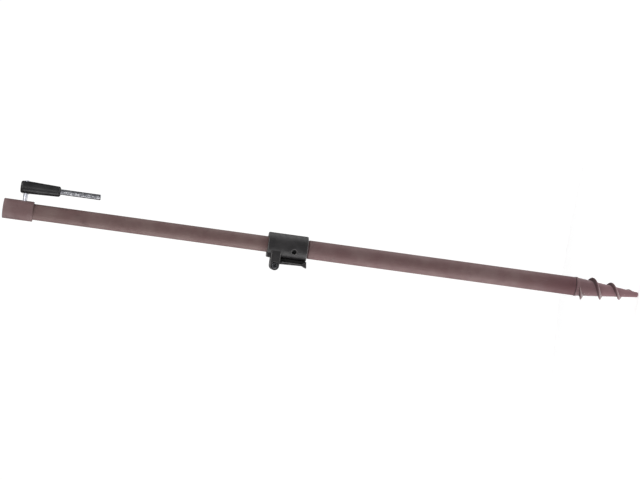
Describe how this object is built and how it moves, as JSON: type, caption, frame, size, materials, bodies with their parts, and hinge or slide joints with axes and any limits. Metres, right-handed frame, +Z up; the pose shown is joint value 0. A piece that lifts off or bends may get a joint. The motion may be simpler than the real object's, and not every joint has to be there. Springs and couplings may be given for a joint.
{
  "type": "telescopic screw-in ground pole",
  "caption": "Telescopic two-section tube pole with a conical auger point, a cam-lever clamp and a folding screw-in handle.",
  "frame": {"origin": "on the pole's axis at the ground line, where the outer tube meets the auger's flange", "axes": "+Z up along the pole to the head; +X towards the folding handle; the clamp's lever is on the -X side and its pivot runs along Y"},
  "size_m": [0.0671, 0.0308, 0.786],
  "materials": {
    "brown_coat": "semi-matt powder coat with a fine orange-peel surface, lightly scuffed",
    "black_nylon": "satin glass-filled nylon",
    "grip_plastic": "satin moulded plastic",
    "grey_nylon": "plain moulded nylon, a running surface",
    "zinc_steel": "bright zinc plate with faint draw marks",
    "black_steel": "black oxide"
  },
  "bodies": {
    "lower": {"outer_tube": "brown_coat", "auger_point": "brown_coat", "auger_flight": "brown_coat", "clamp_housing": "black_nylon", "grub_screw_front": "black_steel", "grub_screw_back": "black_steel", "pivot_screw": "black_steel", "pivot_nut": "black_steel"},
    "lever": {"cam_lever": "black_nylon"},
    "pad": {"brake_pad": "grey_nylon"},
    "glide": {"glide_bush": "grey_nylon"},
    "upper": {"inner_tube": "brown_coat", "head_collar": "brown_coat", "head_insert": "zinc_steel", "handle_stud": "zinc_steel", "stud_washer": "zinc_steel"},
    "handle": {"handle_grip": "grip_plastic", "handle_bar": "zinc_steel"}
  },
  "joints": [
    {"name": "section_slide", "type": "slide", "parent": "lower", "child": "glide", "axis": [0, 0, 1], "range_m": [-0.283, 0]},
    {"name": "section_swivel", "type": "hinge", "parent": "glide", "child": "upper", "pos_m": [0, 0, 0.3321], "axis": [0, 0, 1], "continuous": true},
    {"name": "lever_swing", "type": "hinge", "parent": "lower", "child": "lever", "pos_m": [-0.0248, 0, 0.3723], "axis": [0, 1, 0], "range_deg": [0, 100]},
    {"name": "pad_press", "type": "slide", "parent": "lower", "child": "pad", "axis": [-1, 0, 0], "range_m": [0, 0.0007]},
    {"name": "handle_swing", "type": "hinge", "parent": "upper", "child": "handle", "pos_m": [0.0283, 0, 0.6808], "axis": [1, 0, 0], "continuous": true}
  ],
  "couplings": [
    {"joint": "pad_press", "follows": "lever_swing", "m_per_rad": 0.0004}
  ]
}
